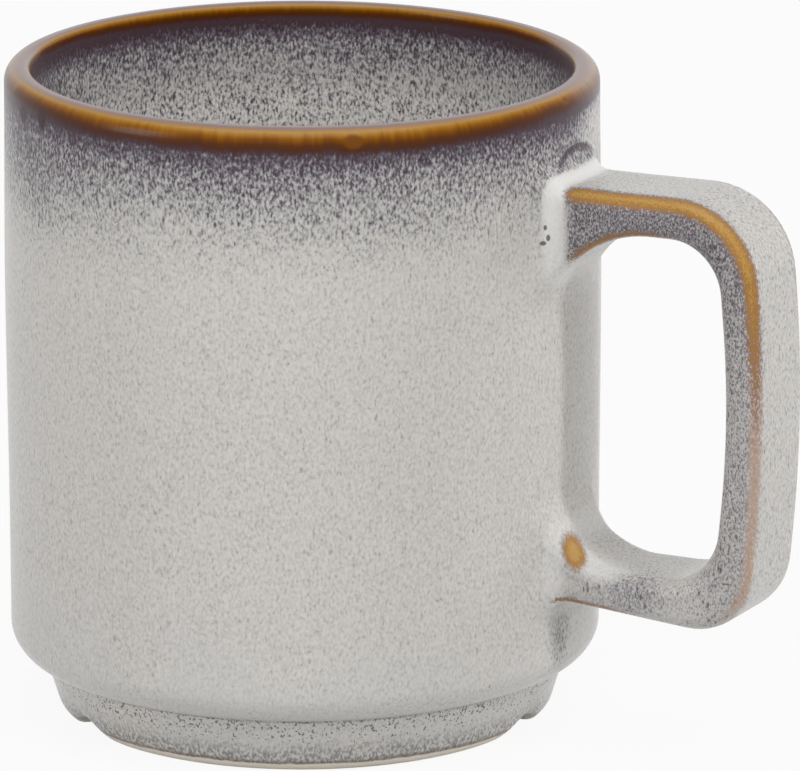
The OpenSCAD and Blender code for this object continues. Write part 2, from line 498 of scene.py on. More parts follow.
    def flow(self, along: float, thick: float, wide: float, half_thick: float,
             half_wide: float, out: float) -> dict[Flow, float]:
        """Says what the glaze does at a point of the strap.

        Args:
            along: share of the strap's length, from the upper root.
            thick: where the point lies across the thickness.
            wide: where it lies across the width.
            half_thick: half the strap's thickness there.
            half_wide: half its width there.
            out: distance out from the wall.

        Returns:
            The amount of each kind of flow.
        """
        crest = self.edge_round * 0.3

        def amount(line: GlazeLine) -> float:
            """How far the glaze breaks along a line."""
            edge = half_thick - crest if line.outer else crest - half_thick
            return line.amount(along, math.hypot(thick - edge, abs(wide) - (half_wide - crest)))

        side = ease(abs(wide), half_wide - 0.9 * self.edge_round, half_wide - 0.1)
        return {Flow.BREAK: max(amount(line) for line in self.lines),
                Flow.BLUSH: amount(self.blush), Flow.STRAP: ease(out, 0.5, 5.0),
                Flow.FLANK: side * ease(out, 2.5, 5.0) * (
                    1 - 0.50 * ease(along, 0.25, 0.5) - 0.32 * ease(along, 0.70, 0.82)),
                Flow.POOL_AND_HIGHLIGHT: ease(out, 0.7, 1.6) * (1 - ease(out, 2.6, 4.0))}

    def rings(self) -> list[list[Vector]]:
        """Works out the strap's rings and notes what the glaze does on them.

        Returns:
            The rings' points, from the upper root to the lower one.
        """
        outer, inner = self.rails()
        run = Path([(p + q) / 2 for p, q in zip(outer, inner)])
        rings = []
        self.marks = []
        for mark, p, q in zip(run.marks, outer, inner):
            half_thick = (p - q).length / 2
            share = min(1.0, max(0.0, (p.x + q.x) / 2 / self.reach))
            half_wide = (self.root_wide + (self.grip_wide - self.root_wide) * share) / 2
            section = self.section(half_thick, half_wide)
            ring = [self.place(p, q, thick, wide) for thick, wide in section]
            self.marks += [(spot, self.flow(mark / run.length, thick, wide, half_thick,
                                            half_wide, spot.xy.length - self.wall_r))
                           for spot, (thick, wide) in zip(ring, section)]
            rings.append(ring)
        return rings

    def draw(self, bm: Mesh) -> list[list[bmesh.types.BMEdge]]:
        """Draws the strap as an open tube.

        Args:
            bm: the mesh to draw in, in millimetres.

        Returns:
            The edges of its two open ends, the upper one first.
        """
        rings = self.rings()
        loop = bmesh.ops.create_circle(bm, cap_ends=False, radius=1,
                                       segments=len(rings[0]))["verts"]
        edges = list({e for v in loop for e in v.link_edges})
        self.move(loop, rings[0])
        first = edges
        for ring in rings[1:]:
            grown = bmesh.ops.extrude_edge_only(bm, edges=edges)["geom"]
            fresh = {v for v in grown if isinstance(v, bmesh.types.BMVert)}
            edges = [e for e in grown if isinstance(e, bmesh.types.BMEdge)
                     and all(v in fresh for v in e.verts)]
            loop = [next(e.other_vert(v) for e in v.link_edges if e.other_vert(v) in fresh)
                    for v in loop]
            self.move(loop, ring)
        return [first, edges]

    @staticmethod
    def move(loop: list[bmesh.types.BMVert], ring: list[Vector]) -> None:
        """Moves a loop's vertices onto a ring's points, in order."""
        for vert, spot in zip(loop, ring):
            vert.co = spot


@dataclass
class Mug:
    """The whole mug: cup and handle fired as one piece."""

    cup: Cup = field(default_factory=Cup)
    handle: StrapHandle = field(default_factory=StrapHandle)
    reach: float = 5.0
    margin: float = 0.5
    root_spread: float = 5.0
    wall_skin: float = 0.05
    flow_span: tuple = (0.2, 2.5)

    @staticmethod
    def to_object(bm: Mesh, name: str) -> bpy.types.Object:
        """Makes an object of a mesh and frees the mesh.

        Args:
            bm: the mesh.
            name: the object's name.

        Returns:
            The object, in the scene.
        """
        mesh = bpy.data.meshes.new(name)
        bm.to_mesh(mesh)
        bm.free()
        made = bpy.data.objects.new(name, mesh)
        bpy.context.scene.collection.objects.link(made)
        return made

    def unrolled(self, spot: Vector) -> Vector:
        """Returns how far round the wall from the handle a point is, and its height."""
        return Vector((math.atan2(spot.y, spot.x) * self.cup.radius, spot.z))

    def open_wall(self, bm: Mesh, wall: list[bmesh.types.BMFace],
                  root: list[bmesh.types.BMEdge]) -> list[bmesh.types.BMEdge]:
        """Opens the wall behind a root of the strap.

        Args:
            bm: the mesh of both.
            wall: the wall's faces near the handle.
            root: the edges of the strap's open end.

        Returns:
            The edges of the new opening.
        """
        ends = {v for e in root for v in e.verts}
        middle = sum((self.unrolled(v.co) for v in ends), Vector((0, 0))) / len(ends)
        rim = sorted((self.unrolled(v.co) - middle for v in ends),
                     key=lambda p: math.atan2(p.y, p.x))
        rim = [p + p.normalized() * self.margin for p in rim]

        def covered(vert: bmesh.types.BMVert) -> bool:
            """Whether the root covers a vertex of the wall."""
            spot = self.unrolled(vert.co) - middle
            return any(intersect_point_tri_2d(spot, Vector((0, 0)), p, q)
                       for p, q in zip(rim, rim[1:] + rim[:1]))

        gone = [f for f in wall if f.is_valid and any(covered(v) for v in f.verts)]
        edge_of = {e for f in gone for e in f.edges}
        kept = [e for e in edge_of if any(f not in gone for f in e.link_faces)]
        bmesh.ops.delete(bm, geom=gone, context="FACES")
        return kept

    def join(self, bm: Mesh) -> None:
        """Grows the strap's two roots into the wall.

        Args:
            bm: the cup's mesh, in millimetres.
        """
        reach = math.hypot(self.handle.root_wide, self.handle.fillet) + self.root_spread
        wall = [f for f in bm.faces if all(
            v.co.x > 0 and abs(v.co.y) < reach
            and v.co.xy.length > self.cup.radius - self.wall_skin for v in f.verts)]
        for root in self.handle.draw(bm):
            opening = self.open_wall(bm, wall, root)
            bmesh.ops.bridge_loops(bm, edges=root + opening)
            wall = [f for f in wall if f.is_valid]
        bmesh.ops.recalc_face_normals(bm, faces=bm.faces)

    def mark_flow(self, bm: Mesh) -> None:
        """Writes on the mesh where the glaze breaks and pools and where a highlight is painted.

        Args:
            bm: the joined mesh, in millimetres.
        """
        tree = KDTree(len(self.handle.marks))
        for i, (spot, _) in enumerate(self.handle.marks):
            tree.insert(spot, i)
        tree.balance()
        layers = {kind: bm.verts.layers.float.new(kind.value) for kind in Flow}
        run = bm.verts.layers.float.new(RIM_RUN)
        for vert in bm.verts:
            vert[run] = self.cup.rim_run(vert.co)
            if vert.co.xy.length < self.cup.radius - 1:
                continue
            spot, nearest, gap = tree.find(vert.co)
            if gap > self.reach:
                continue
            near = 1 - ease(gap, *self.flow_span)
            for kind, amount in self.handle.marks[nearest][1].items():
                vert[layers[kind]] = amount * near

    def build(self) -> bpy.types.Object:
        """Builds the mug with its attributes, smooth and in metres.

        Returns:
            The mug's object, at the origin.
        """
        bm = self.cup.build()
        self.join(bm)
        self.mark_flow(bm)
        self.cup.settle(bm)
        bmesh.ops.scale(bm, vec=(MM, MM, MM), verts=bm.verts)
        log.info("mug: %d vertices, %d faces", len(bm.verts), len(bm.faces))
        mug = self.to_object(bm, "stacking_mug")
        mug.data.shade_smooth()
        return mug


@dataclass(frozen=True)
class Step:
    """A smooth step between two numbers, with its results before and after it."""

    low: float
    high: float
    before: float = 0.0
    after: float = 1.0


@dataclass(frozen=True)
class Band:
    """A stretch between two numbers, with soft borders."""

    low: float
    high: float
    soft: float


@dataclass(frozen=True)
class Noise:
    """A noise pattern: how fine it is, and how many and how strong its finer layers are."""

    scale: float
    detail: float = 2.0
    rough: float = 0.5


@dataclass(frozen=True)
class Patch:
    """A place on the mug where the glaze differs, seen from the front, in millimetres."""

    right: float
    front: float
    up: float
    wide: float
    deep: float
    high: float


class Nodes:
    """Short words for making and linking shader nodes."""

    def __init__(self, owner: bpy.types.Material | bpy.types.World) -> None:
        """Empties the nodes of a material or world.

        Args:
            owner: the material or world to write in.
        """
        owner.use_nodes = True
        self.tree = owner.node_tree
        self.tree.nodes.clear()

    def add(self, kind: str, *values: object, **settings: object) -> bpy.types.Node:
        """Adds a node.

        Args:
            kind: the node's type without its "ShaderNode".
            values: what its first inputs get: an output, a number or a colour.
            settings: its properties.

        Returns:
            The node.
        """
        node = self.tree.nodes.new("ShaderNode" + kind)
        for name, value in settings.items():
            setattr(node, name, value)
        for socket, value in zip(node.inputs, values):
            self.feed(socket, value)
        return node

    def feed(self, socket: Socket, value: object) -> None:
        """Gives a socket a link or a plain value.

        Args:
            socket: the input.
            value: an output socket, a number or a colour.
        """
        if isinstance(value, Socket):
            self.tree.links.new(value, socket)
        else:
            socket.default_value = value

    def fill(self, node: bpy.types.Node, inputs: dict[str, object]) -> bpy.types.Node:
        """Feeds some of a node's inputs by their names.

        Args:
            node: the node.
            inputs: what each named input gets.

        Returns:
            The same node.
        """
        for name, value in inputs.items():
            self.feed(node.inputs[name], value)
        return node

    def math(self, operation: str, *values: object) -> Socket:
        """Returns the result of a Math node."""
        return self.add("Math", *values, operation=operation).outputs[0]

    def times(self, *values: object) -> Socket:
        """Returns the product of some numbers."""
        return reduce(lambda a, b: self.math("MULTIPLY", a, b), values)

    def plus(self, *values: object) -> Socket:
        """Returns the sum of some numbers."""
        return reduce(lambda a, b: self.math("ADD", a, b), values)

    def minus(self, first: object, second: object) -> Socket:
        """Returns the difference of two numbers."""
        return self.math("SUBTRACT", first, second)

    def swing(self, noise: object, size: float = 1.0) -> Socket:
        """Returns a noise that swings round 0, made larger by its size."""
        return self.times(self.minus(noise, 0.5), size)

    def length(self, vector: object) -> Socket:
        """Returns a vector's length."""
        return self.add("VectorMath", vector, operation="LENGTH").outputs["Value"]

    def axis(self, vector: object, index: int) -> Socket:
        """Returns one coordinate of a vector."""
        return self.add("SeparateXYZ", vector).outputs[index]

    def step(self, value: object, *steps: Step) -> Socket:
        """Adds up some smooth steps of a number.

        Args:
            value: the number to place.
            steps: the steps.

        Returns:
            Their sum.
        """
        return self.plus(*[self.add("MapRange", value, s.low, s.high, s.before, s.after,
                                    interpolation_type="SMOOTHSTEP").outputs[0]
                           for s in steps])

    def band(self, value: object, band: Band) -> Socket:
        """Tells where a number is in a band.

        Args:
            value: the number to place.
            band: the band.

        Returns:
            1 in the band and 0 outside, with soft borders.
        """
        return self.times(
            self.step(value, Step(band.low - band.soft, band.low + band.soft)),
            self.step(value, Step(band.high - band.soft, band.high + band.soft, 1.0, 0.0)))

    def blend(self, amount: object, first: object, second: object) -> Socket:
        """Mixes two colours.

        Args:
            amount: how much of the second.
            first: a colour or an output.
            second: a colour or an output.

        Returns:
            The mixed colour.
        """
        node = self.add("Mix", amount, data_type="RGBA", clamp_factor=True)
        self.feed(node.inputs[6], first)
        self.feed(node.inputs[7], second)
        return node.outputs[2]

    def brighten(self, colour: object, factor: object) -> Socket:
        """Returns a colour made brighter by a factor."""
        return self.fill(self.add("VectorMath", colour, operation="SCALE"),
                         {"Scale": factor}).outputs[0]

    def noise(self, place: object, noise: Noise) -> Socket:
        """Makes a noise pattern.

        Args:
            place: the coordinates.
            noise: how fine and how rough it is.

        Returns:
            The noise, about 0.5 on average.
        """
        return self.fill(self.add("TexNoise", noise_dimensions="3D"), {
            "Vector": place, "Scale": noise.scale, "Detail": noise.detail,
            "Roughness": noise.rough}).outputs[0]

    def dots(self, place: object, scale: float, size: float,
             share: object) -> Socket:
        """Scatters round dots.

        Args:
            place: the coordinates.
            scale: cells in each unit.
            size: a dot's radius, as a share of its cell.
            share: how many of the cells have a dot.

        Returns:
            1 in a dot and 0 outside, with a soft border.
        """
        node = self.fill(self.add("TexVoronoi", voronoi_dimensions="3D", feature="F1"),
                         {"Vector": place, "Scale": scale})
        picked = self.math("LESS_THAN", self.axis(node.outputs["Color"], 0), share)
        return self.times(picked, self.step(node.outputs["Distance"],
                                            Step(size * 0.5, size * 1.5, 1.0, 0.0)))

    def ramp(self, value: object, bands: tuple) -> Socket:
        """Runs through a row of colours.

        Args:
            value: the number that picks the colour.
            bands: screen colours, each after the value at which it is reached.

        Returns:
            The colour.
        """
        low, high = bands[0][0], bands[-1][0]
        node = self.add("ValToRGB", self.add("MapRange", value, low, high).outputs[0])
        stops = node.color_ramp.elements
        for i, (at, *colour) in enumerate(bands):
            part = (at - low) / (high - low)
            stop = stops[i] if i < 2 else stops.new(part)
            stop.position, stop.color = part, linear(*colour)
        return node.outputs[0]

    def stretch(self, place: object, by: tuple[float, float, float]) -> Socket:
        """Scales coordinates, so that a pattern runs longer in some directions."""
        return self.fill(self.add("Mapping", vector_type="POINT"),
                         {"Vector": place, "Scale": by}).outputs[0]


class Surface(Nodes):
    """The nodes of the mug's material, with the places and attributes that they read."""

    def __init__(self, material: bpy.types.Material, side: float) -> None:
        """Reads the mesh.

        Args:
            material: the material to write in.
            side: the camera's side, as an angle round the mug.
        """
        super().__init__(material)
        self.place = self.stretch(self.add("TexCoord").outputs["Object"], (1 / MM,) * 3)
        self.flat = self.stretch(self.place, (1.0, 1.0, 0.0))
        self.up = self.axis(self.place, 2)
        self.turned = self.fill(self.add("VectorRotate", rotation_type="Z_AXIS"), {
            "Vector": self.place, "Angle": -side}).outputs[0]
        self.right, self.away = self.axis(self.turned, 0), self.axis(self.turned, 1)
        self.flow = {kind: self.attribute(kind.value) for kind in Flow}
        self.run = self.attribute(RIM_RUN)

    def attribute(self, name: str) -> Socket:
        """Returns a float attribute of the mesh."""
        return self.add("Attribute", attribute_name=name).outputs["Fac"]

    def patch(self, patch: Patch) -> Socket:
        """Draws a patch.

        Args:
            patch: where it lies and how far it reaches.

        Returns:
            1 in its middle, falling to 0 at its border.
        """
        size = (patch.wide, patch.deep, patch.high)
        centre = (patch.right, -patch.front, patch.up)
        node = self.fill(self.add("Mapping", vector_type="POINT"), {
            "Vector": self.turned, "Scale": [1 / s for s in size],
            "Location": [-c / s for c, s in zip(centre, size)]})
        return self.step(self.length(node.outputs[0]), Step(0.0, 1.0, 1.0, 0.0))


@dataclass(frozen=True)
class SpeckledGlaze:
    """A pale grey glaze that turns navy and amber towards the rim and over edges."""

    body_bands: tuple = (
        (-2.0, 204, 201, 197), (-0.7, 198, 195, 191), (0.0, 195, 192, 188),
        (0.7, 190, 187, 183), (1.35, 184, 182, 178), (1.9, 177, 174, 172),
        (2.3, 170, 168, 166), (2.9, 157, 155, 154), (3.6, 139, 136, 138),
        (4.2, 119, 115, 119), (4.9, 96, 90, 98), (5.6, 83, 74, 82), (6.2, 73, 62, 70),
        (7.0, 64, 48, 54), (9.0, 70, 52, 55))
    rim_bands: tuple = (
        (0.0, 138, 119, 116), (0.7, 136, 114, 106), (1.1, 160, 122, 76),
        (1.45, 168, 126, 64), (1.8, 154, 108, 34), (2.1, 138, 90, 6), (2.45, 120, 70, 0),
        (2.8, 100, 54, 0), (3.2, 82, 42, 2), (3.7, 72, 37, 16), (4.2, 68, 40, 38),
        (5.2, 70, 56, 64))
    dull_bands: tuple = (
        (0.0, 138, 120, 118), (1.4, 152, 132, 116), (2.4, 122, 97, 82), (3.4, 84, 66, 72),
        (4.4, 72, 58, 66))
    line_bands: tuple = (
        (0.10, 130, 114, 118), (0.34, 122, 94, 84), (0.54, 146, 106, 62),
        (0.76, 160, 114, 46), (1.0, 180, 140, 72))
    cool: tuple = linear(190, 190, 189)
    dash: tuple = linear(70, 64, 70)
    # Painted shade for the strap's flanks, where the cup's body blocks the side light.
    flank_shade: tuple = linear(120, 114, 114)
    lit: tuple = linear(226, 225, 223)
    drip: tuple = linear(108, 62, 2)
    blotch: tuple = linear(56, 34, 38)
    blush: tuple = linear(176, 148, 128)
    dusk: tuple = linear(134, 120, 124)
    clay: tuple = linear(234, 226, 214)
    burnt: tuple = linear(112, 86, 68)
    dot: tuple = linear(78, 70, 66)
    slate: tuple = linear(134, 131, 127)

    blotches: tuple = (
        Patch(-36.9, 15.4, 85.8, 1.3, 2.2, 2.3), Patch(-34.3, 20.6, 86.2, 1.3, 2.2, 2.5))
    drips: tuple = (Patch(6.7, 39.2, 87.4, 2.1, 1.6, 1.6), Patch(35.0, 19.0, 88.1, 1.2, 1.6, 1.0))
    pits: tuple = (
        Patch(31.8, 26.4, 72.6, 0.40, 3.5, 0.6), Patch(32.2, 26.2, 71.2, 0.45, 3.5, 0.75),
        Patch(31.5, 26.5, 70.5, 0.75, 3.5, 0.5))
    thin_over_root: Patch = Patch(39.6, 8.0, 84.0, 7.5, 16.0, 8.0)
    arch_over_root: Patch = Patch(36.0, 18.0, 78.7, 3.0, 40.0, 3.4)
    # Dark specks and a painted shadow of the lower arm on the wall below it.
    specks_and_shade_under_root: Patch = Patch(34.0, 21.0, 14.6, 2.4, 9.0, 6.5)
    thick_on_flank: Patch = Patch(43.5, 30.0, 24.2, 8.5, 12.0, 4.6)
    pale_on_root: Patch = Patch(39.5, 27.2, 29.5, 9.0, 9.0, 7.0)
    amber_on_root: Patch = Patch(35.9, 27.2, 29.3, 3.0, 7.5, 4.8)
    camera_side: float = math.radians(28)

    inner_wall: Step = Step(38.4, 37.6)
    cloud: Noise = Noise(0.07)
    cloud_swing: float = 8.0
    deeper_on_left: Step = Step(-22.0, -37.0, 0.0, 2.0)
    root_thins: float = 11.0
    inner_shift: tuple = (Step(84.0, 80.0, 0.0, -1.25), Step(78.5, 73.0, 0.0, 2.6))
    under_rim: tuple = (Step(66.0, 80.0, 0.0, 2.6), Step(76.0, 86.0, 0.0, 1.9))
    close_to_rim: tuple = (Step(7.6, 4.8), Step(4.9, 4.0, 0.0, 1.6))
    inner_top: Step = Step(83.5, 87.0, 0.0, 2.2)
    off_strap: Step = Step(0.0, 0.8, 1.0, 0.1)
    strap_adds: float = 0.8
    flank_adds: float = 3.1
    root_adds: float = 3.0
    low_flank_adds: float = 2.2
    arch_border: Step = Step(0.0, 0.13)
    arch_fill: Step = Step(0.05, 0.55, 3.4, 0.3)
    arch_from: Step = Step(78.2, 80.4)
    pool_highlight_thins: Step = Step(0.0, 0.8, 1.0, 0.15)
    pale_thins: Step = Step(0.0, 0.8, 1.0, 0.25)

    upright: tuple = (1.0, 1.0, 0.6)
    grain: Noise = Noise(2.8, 1.5, 0.55)
    fine_grain: Noise = Noise(4.4, 1.0)
    fine_on_flank: Step = Step(0.0, 0.3)
    speck_gain: Step = Step(4.0, 5.8, 11.0, 8.25)
    inner_reach: Step = Step(35.0, 65.0)
    inner_gain: Step = Step(81.0, 74.0, 0.0, 0.7)
    inner_light: Step = Step(80.0, 73.0, 0.08, 0.48)
    shade_on_flank: Step = Step(0.0, 0.5, 0.0, 0.2)
    cool_below: Step = Step(30.0, 5.0, 0.0, 0.5)
    cool_clouds: Step = Step(0.35, 0.65)
    dash_stretch: tuple = (1.0, 1.0, 0.45)
    dash_scale: float = 1.3
    dash_size: float = 0.24
    dashes_grow: Step = Step(0.6, 2.4, 0.02, 0.5)
    dashes_end: Step = Step(3.2, 4.6, 1.0, 0.3)
    dash_shows: Step = Step(0.0, 2.4, 0.35, 0.75)

    ring_out: float = 38.0
    streaks: Noise = Noise(1.4)
    waves: Noise = Noise(0.16, 1.0)
    wave_swing: float = 1.2
    ripple_from: Step = Step(0.8, 3.0)
    side_swing: float = 8.0
    dull_on_right: Step = Step(20.0, 36.0, 0.0, 6.0)
    narrow_in_front: Step = Step(14.0, 38.0, 1.28, 1.0)
    dull_on_side: Step = Step(2.0, 14.0)
    streak_shows: Step = Step(0.5, 0.72, 0.0, 0.16)
    streak_band: Band = Band(1.2, 3.2, 0.4)
    rim_ends: Step = Step(3.7, 5.1, 1.0, 0.0)
    stain_shows: Step = Step(0.1, 0.6)

    pool_highlight_shows: Step = Step(62.0, 77.0, 0.3, 0.8)
    pale_shows: Step = Step(0.1, 0.6, 0.0, 0.4)
    pit_shows: Step = Step(0.15, 0.6, 0.0, 0.85)
    blush_fuzz: float = 2.0
    blush_shows: Step = Step(0.05, 1.1, 0.0, 0.85)
    blush_core: Step = Step(0.15, 0.6)
    line_border: Step = Step(0.02, 0.3)
    amber_fuzz: float = 0.35
    amber_shows: Step = Step(0.08, 0.5, 0.0, 0.95)
    amber_gain: float = 1.5
    line_fuzz: float = 1.1
    line_shows: Step = Step(0.0, 0.6, 0.0, 0.95)

    foot_drift: Noise = Noise(0.4)
    foot_swing: float = 1.6
    slate_band: Band = Band(0.5, 3.9, 1.4)
    slate_grain: Step = Step(0.35, 0.65, 0.1, 0.95)
    fleck_stretch: tuple = (1.0, 1.0, 0.8)
    flecks: Noise = Noise(2.8, 1.0)
    flecks_grow: Step = Step(4.2, 7.2, 0.0, 0.07)
    fleck_shows: Step = Step(0.635, 0.7, 0.0, 0.75)
    fleck_band: Band = Band(4.3, 8.3, 0.5)
    crease_band: Band = Band(7.7, 8.0, 0.15)
    crease_grain: Step = Step(0.4, 0.6, 0.1, 0.6)
    clay_wave: Noise = Noise(0.5)
    clay_swing: float = 0.5
    burnt_band: Band = Band(1.35, 1.9, 0.3)
    burnt_share: float = 0.6
    clay_ends: Step = Step(1.25, 1.5, 1.0, 0.0)

    roughness: Step = Step(0.0, 1.0, 0.26, 0.85)
    ior: float = 1.5
    specular: float = 0.16
    bump: float = 0.2
    bump_depth: float = 0.0002
    bump_grain: float = 0.3
    bump_waves: Noise = Noise(0.22, 3.0)

    def dress(self, piece: bpy.types.Object) -> None:
        """Gives a piece the glaze.

        Args:
            piece: the mug.
        """
        material = bpy.data.materials.new("speckled_glaze")
        n = Surface(material, self.camera_side)
        colour, grain = self.body(n)
        colour = self.edges(n, self.rim(n, colour), grain)
        colour, bare = self.foot(n, colour, grain)
        bump = n.fill(n.add("Bump"), {
            "Strength": self.bump, "Distance": self.bump_depth, "Height": n.plus(
                n.times(grain, self.bump_grain), n.noise(n.place, self.bump_waves))})
        shader = n.fill(n.add("BsdfPrincipled"), {
            "Base Color": colour, "Roughness": n.step(bare, self.roughness), "IOR": self.ior,
            "Specular IOR Level": self.specular, "Normal": bump.outputs[0]})
        n.add("OutputMaterial", shader.outputs[0])
        piece.data.materials.clear()
        piece.data.materials.append(material)

    def inside(self, n: Surface) -> Socket:
        """Returns 1 on the inside of the cup and 0 on the outside."""
        return n.step(n.length(n.flat), self.inner_wall)

    def depth(self, n: Surface, cloud: object) -> Socket:
        """How far the dark glaze comes through, plus painted shade under the lower root.

        Args:
            n: the surface.
            cloud: a wide, soft noise.

        Returns:
            The depth, from 0 to about 8.
        """
        inner = self.inside(n)
        outer = n.minus(1.0, inner)
        height = n.plus(n.up, n.swing(cloud, self.cloud_swing),
                        n.step(n.right, self.deeper_on_left))
        height = n.minus(height, n.times(outer, n.patch(self.thin_over_root), self.root_thins))
        height = n.plus(height, n.times(inner, n.step(height, *self.inner_shift)))
        arch = n.times(outer, n.patch(self.arch_over_root))
        thick = n.plus(
            n.times(n.step(height, *self.under_rim), n.step(n.flow[Flow.STRAP], self.off_strap)),
            n.step(n.run, *self.close_to_rim),
            n.times(inner, n.step(n.up, self.inner_top)),
            n.times(n.flow[Flow.STRAP], self.strap_adds),
            n.times(n.flow[Flow.FLANK], self.flank_adds),
            n.times(n.step(arch, self.arch_border), n.step(arch, self.arch_fill),
                    n.step(n.up, self.arch_from)),
            # Painted shadow of the lower arm, with real specks, on the wall under the root.
            n.times(n.patch(self.specks_and_shade_under_root), self.root_adds),
            n.times(n.patch(self.thick_on_flank), self.low_flank_adds))
        # Less dark glaze under the roots' pooled glaze and painted highlight, and on the pale
        # patch.
        return n.times(thick, n.step(n.flow[Flow.POOL_AND_HIGHLIGHT], self.pool_highlight_thins),
                       n.step(n.patch(self.pale_on_root), self.pale_thins))

    def body(self, n: Surface) -> tuple[object, object]:
        """The pale glaze with its specks, thick with navy under the rim.

        Args:
            n: the surface.

        Returns:
            The colour, and the specks' pattern.
        """
        flank = n.flow[Flow.FLANK]
        tall = n.stretch(n.place, self.upright)
        grain = n.blend(n.step(flank, self.fine_on_flank), n.noise(tall, self.grain),
                        n.noise(tall, self.fine_grain))
        cloud = n.noise(n.place, self.cloud)
        depth = self.depth(n, cloud)
        inner = n.times(self.inside(n), n.step(n.up, self.inner_reach))
        specks = n.times(n.swing(grain), n.step(depth, self.speck_gain), n.plus(
            1.0, n.times(inner, n.step(n.up, self.inner_gain))))
        colour = n.ramp(n.plus(depth, specks), self.body_bands)
        # Painted shade: the flanks are dulled towards a shade grey, as the cup blocks the side
        # light there.
        colour = n.blend(n.step(flank, self.shade_on_flank), colour, self.flank_shade)
        # Painted light: the inside wall below the rim is brightened to stand in for light falling
        # into the cup.
        colour = n.brighten(colour, n.plus(1.0, n.times(inner, n.step(
            n.up, self.inner_light))))
        colour = n.blend(n.times(n.step(n.up, self.cool_below), n.step(
            cloud, self.cool_clouds)), colour, self.cool)
        dashes = n.dots(
            n.stretch(n.place, self.dash_stretch), self.dash_scale, self.dash_size,
            n.times(n.step(depth, self.dashes_grow), n.step(depth, self.dashes_end)))
        return n.blend(n.times(dashes, n.step(depth, self.dash_shows)), colour,
                       self.dash), grain

    def rim(self, n: Surface, colour: object) -> Socket:
        """The amber bands over the rim, with dark umber and plum below them.

        Args:
            n: the surface.
            colour: the colour so far.

        Returns:
            The colour.
        """
        around = n.stretch(n.add("VectorMath", n.flat, operation="NORMALIZE").outputs[0],
                           (self.ring_out,) * 3)
        streaks, waves = n.noise(around, self.streaks), n.noise(around, self.waves)
        ripple = n.plus(n.swing(streaks), n.swing(waves, self.wave_swing))
        run = n.plus(n.run, n.times(ripple, n.step(n.run, self.ripple_from)))
        across = n.minus(n.plus(n.math("ABSOLUTE", n.away), n.swing(waves, self.side_swing)),
                         n.step(n.right, self.dull_on_right))
        narrow = n.times(run, n.step(across, self.narrow_in_front))
        bands = n.blend(n.step(across, self.dull_on_side), n.ramp(run, self.dull_bands),
                        n.ramp(narrow, self.rim_bands))
        bands = n.blend(n.times(n.step(streaks, self.streak_shows),
                                n.band(run, self.streak_band)), bands, self.drip)
        colour = n.blend(n.step(run, self.rim_ends), colour, bands)
        for patches, stain in ((self.blotches, self.blotch), (self.drips, self.drip)):
            for patch in patches:
                colour = n.blend(n.step(n.patch(patch), self.stain_shows), colour, stain)
        return colour

    def edges(self, n: Surface, colour: object, grain: object) -> Socket:
        """The strap's amber edge lines, and pooled glaze with a painted highlight at its roots.

        Args:
            n: the surface.
            colour: the colour so far.
            grain: the specks' pattern.

        Returns:
            The colour.
        """
        # The roots' fillets go to the light colour: pooled pale glaze, partly a painted
        # highlight.
        colour = n.blend(n.times(n.flow[Flow.POOL_AND_HIGHLIGHT], n.step(n.up, self.pool_highlight_shows)), colour,
                         self.lit)
        colour = n.blend(n.step(n.patch(self.pale_on_root), self.pale_shows), colour, self.lit)
        for patch in self.pits:
            colour = n.blend(n.step(n.patch(patch), self.pit_shows), colour, self.dot)
        blush = n.plus(n.flow[Flow.BLUSH], n.swing(grain, self.blush_fuzz))
        colour = n.blend(
            n.times(n.step(blush, self.blush_shows), n.step(n.flow[Flow.BLUSH],
                                                            self.line_border)),
            colour, n.blend(n.step(blush, self.blush_core), self.dusk, self.blush))
        amber = n.plus(n.patch(self.amber_on_root), n.swing(grain, self.amber_fuzz))
        colour = n.blend(n.step(amber, self.amber_shows), colour,
                         n.ramp(n.times(amber, self.amber_gain), self.line_bands))
        core = n.flow[Flow.BREAK]
        broken = n.plus(core, n.swing(grain, self.line_fuzz))
        return n.blend(n.times(n.step(broken, self.line_shows), n.step(
            core, self.line_border)), colour, n.ramp(broken, self.line_bands))

    def foot(self, n: Surface, colour: object, grain: object) -> tuple[object, object]:
        """The foot's own flecks, the burnt line where the glaze ends, and bare clay.

        Args:
            n: the surface.
            colour: the colour so far.
            grain: the specks' pattern.

        Returns:
            The colour, and how bare the clay is.
        """
        soft = n.plus(n.up, n.swing(n.noise(n.place, self.foot_drift), self.foot_swing))
        colour = n.blend(n.times(n.band(soft, self.slate_band), n.step(
            grain, self.slate_grain)), colour, self.slate)
        flecks = n.plus(n.noise(n.stretch(n.place, self.fleck_stretch), self.flecks),
                        n.step(soft, self.flecks_grow))
        colour = n.blend(n.times(n.step(flecks, self.fleck_shows), n.band(
            soft, self.fleck_band)), colour, self.dot)
        colour = n.blend(n.times(n.band(n.up, self.crease_band), n.step(
            grain, self.crease_grain)), colour, self.dot)
        edge = n.plus(n.up, n.swing(n.noise(n.place, self.clay_wave), self.clay_swing))
        colour = n.blend(n.times(n.band(edge, self.burnt_band), self.burnt_share), colour,
                         self.burnt)
        bare = n.step(edge, self.clay_ends)
        return n.blend(bare, colour, self.clay), bare


@dataclass(frozen=True)
class Softbox:
    """A soft light: its place in degrees round from the camera's side and above the floor,
    its distance and size in metres, and its power in watts.
    """

    name: str
    azimuth: float
    elevation: float
    distance: float
    wide: float
    high: float
    watts: float
    gloss: bool = False


def swung(first: Vector, second: Vector, angle: float) -> tuple[Vector, Vector]:
    """Returns two crossing directions turned in their plane, the first to the second."""
    return (first * math.cos(angle) + second * math.sin(angle),
            second * math.cos(angle) - first * math.sin(angle))


